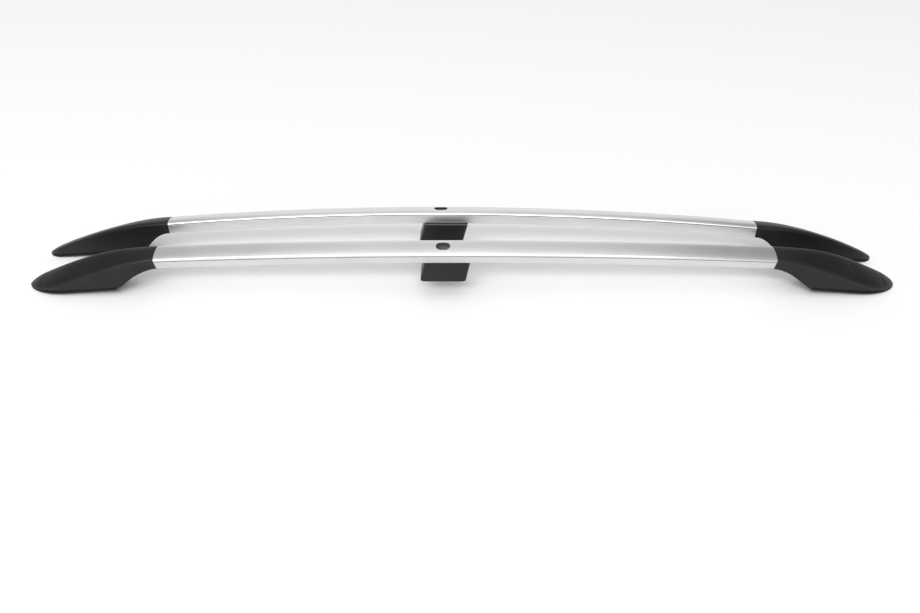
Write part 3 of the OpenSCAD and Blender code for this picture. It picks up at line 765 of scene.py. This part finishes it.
# grey of the world by the height of a direction, and factors by half its X and half its Y plus one half
WORLD_HEIGHTS = [(0.0, 1.0), (0.3, 1.1), (0.6, 0.92), (0.8, 0.81), (1.0, 0.78)]
WORLD_SIDES = [
    (0.1, 0.12), (0.2, 0.25), (0.29, 0.66), (0.38, 0.95), (0.5, 1.0),
    (0.62, 0.9), (0.7, 0.4), (0.8, 0.2), (0.9, 0.12),
]
WORLD_FRONT = [(0.15, 1.0), (0.3, 1.8), (0.44, 1.75), (0.63, 1.4), (0.72, 1.15), (0.82, 1.0)]
FACTORS_FROM, FACTORS_FULL = 0.15, 0.4

CAMERA_PLACE, CAMERA_DOWN, CAMERA_TURN = (0.0076, -1.3279, 0.9012), math.radians(36.80), math.radians(0.35)
CAMERA_LENS, SENSOR_WIDTH = 30.905, 36.0
KEY_PLACE, KEY_WIDTH, KEY_HEIGHT, KEY_POWER = (-1.2, -5.8, 5.75), 8.8, 2.0, 430


def floor_material():
    """Pale floor that the camera, metal and glass see a little lighter than it is lit."""
    mat, nodes, links, bsdf = node_material("floor")
    bsdf.inputs["Base Color"].default_value = (FLOOR_GREY, FLOOR_GREY, FLOOR_GREY, 1)
    bsdf.inputs["Roughness"].default_value = 0.9
    bsdf.inputs["Specular IOR Level"].default_value = 0.1
    bsdf.inputs["Emission Color"].default_value = (1, 1, 1, 1)
    path = nodes.new("ShaderNodeLightPath")
    seen = None
    for kind in ("Is Camera Ray", "Is Glossy Ray", "Is Transmission Ray"):
        node = nodes.new("ShaderNodeMath")
        node.operation = "MULTIPLY_ADD"
        links.new(path.outputs[kind], node.inputs[0])
        node.inputs[1].default_value = FLOOR_LIFT
        node.inputs[2].default_value = 0
        if seen is not None:
            links.new(seen, node.inputs[2])
        seen = node.outputs["Value"]
    links.new(seen, bsdf.inputs["Emission Strength"])
    return mat


def backdrop():
    bpy.ops.mesh.primitive_plane_add(size=2 * FLOOR_HALF, location=(0, 0, 0))
    plane = bpy.context.object
    plane.name = "floor"
    plane.data.materials.append(floor_material())


def stops(ramp, values):
    """Grey stops of a colour ramp."""
    while len(ramp.elements) > 1:
        ramp.elements.remove(ramp.elements[-1])
    for k, (place, grey) in enumerate(values):
        stop = ramp.elements[0] if k == 0 else ramp.elements.new(place)
        stop.position, stop.color = place, (grey, grey, grey, 1)


def half_plus(nodes, links, source):
    """Half of a direction's component plus one half."""
    node = nodes.new("ShaderNodeMath")
    node.operation = "MULTIPLY_ADD"
    node.inputs[1].default_value = 0.5
    node.inputs[2].default_value = 0.5
    links.new(source, node.inputs[0])
    return node.outputs["Value"]


def world():
    """Pale walls low down, and above them a ceiling that the bars mirror: darker to both sides, lighter in front."""
    w = bpy.data.worlds.new("studio")
    bpy.context.scene.world = w
    w.use_nodes = True
    nodes, links = w.node_tree.nodes, w.node_tree.links
    tex = nodes.new("ShaderNodeTexCoord")
    split = nodes.new("ShaderNodeSeparateXYZ")
    links.new(tex.outputs["Generated"], split.inputs["Vector"])
    height, side, front = [nodes.new("ShaderNodeValToRGB") for _ in range(3)]
    stops(height.color_ramp, WORLD_HEIGHTS)
    stops(side.color_ramp, WORLD_SIDES)
    stops(front.color_ramp, WORLD_FRONT)
    links.new(split.outputs["Z"], height.inputs["Fac"])
    links.new(half_plus(nodes, links, split.outputs["X"]), side.inputs["Fac"])
    links.new(half_plus(nodes, links, split.outputs["Y"]), front.inputs["Fac"])
    lit, both = nodes.new("ShaderNodeMix"), nodes.new("ShaderNodeMix")
    for node in (lit, both):
        node.data_type, node.blend_type = "RGBA", "MULTIPLY"
    lit.inputs["Factor"].default_value = 1.0
    links.new(side.outputs["Color"], lit.inputs["A"])
    links.new(front.outputs["Color"], lit.inputs["B"])
    raised = nodes.new("ShaderNodeMapRange")
    raised.inputs["From Min"].default_value = FACTORS_FROM
    raised.inputs["From Max"].default_value = FACTORS_FULL
    links.new(split.outputs["Z"], raised.inputs["Value"])
    links.new(raised.outputs["Result"], both.inputs["Factor"])
    links.new(height.outputs["Color"], both.inputs["A"])
    links.new(lit.outputs["Result"], both.inputs["B"])
    links.new(both.outputs["Result"], nodes["Background"].inputs["Color"])
    nodes["Background"].inputs["Strength"].default_value = 1.0


def area_lamp(name, location, target, size_x, size_y, power):
    data = bpy.data.lights.new(name, "AREA")
    data.shape = "RECTANGLE"
    data.size, data.size_y = size_x, size_y
    data.energy = power
    lamp = bpy.data.objects.new(name, data)
    lamp.location = location
    lamp.rotation_mode = "QUATERNION"
    lamp.rotation_quaternion = (Vector(target) - Vector(location)).to_track_quat("-Z", "Y")
    bpy.context.scene.collection.objects.link(lamp)


def camera():
    data = bpy.data.cameras.new("camera")
    data.sensor_width = SENSOR_WIDTH
    data.lens = CAMERA_LENS
    cam = bpy.data.objects.new("camera", data)
    cam.location = CAMERA_PLACE
    cam.rotation_euler = (math.pi / 2 - CAMERA_DOWN, 0, CAMERA_TURN)
    bpy.context.scene.collection.objects.link(cam)
    bpy.context.scene.camera = cam


backdrop()
world()
area_lamp("key", KEY_PLACE, (0.0, 0.0, 0.0), KEY_WIDTH, KEY_HEIGHT, KEY_POWER)
camera()

bpy.context.scene.view_settings.view_transform = "Standard"
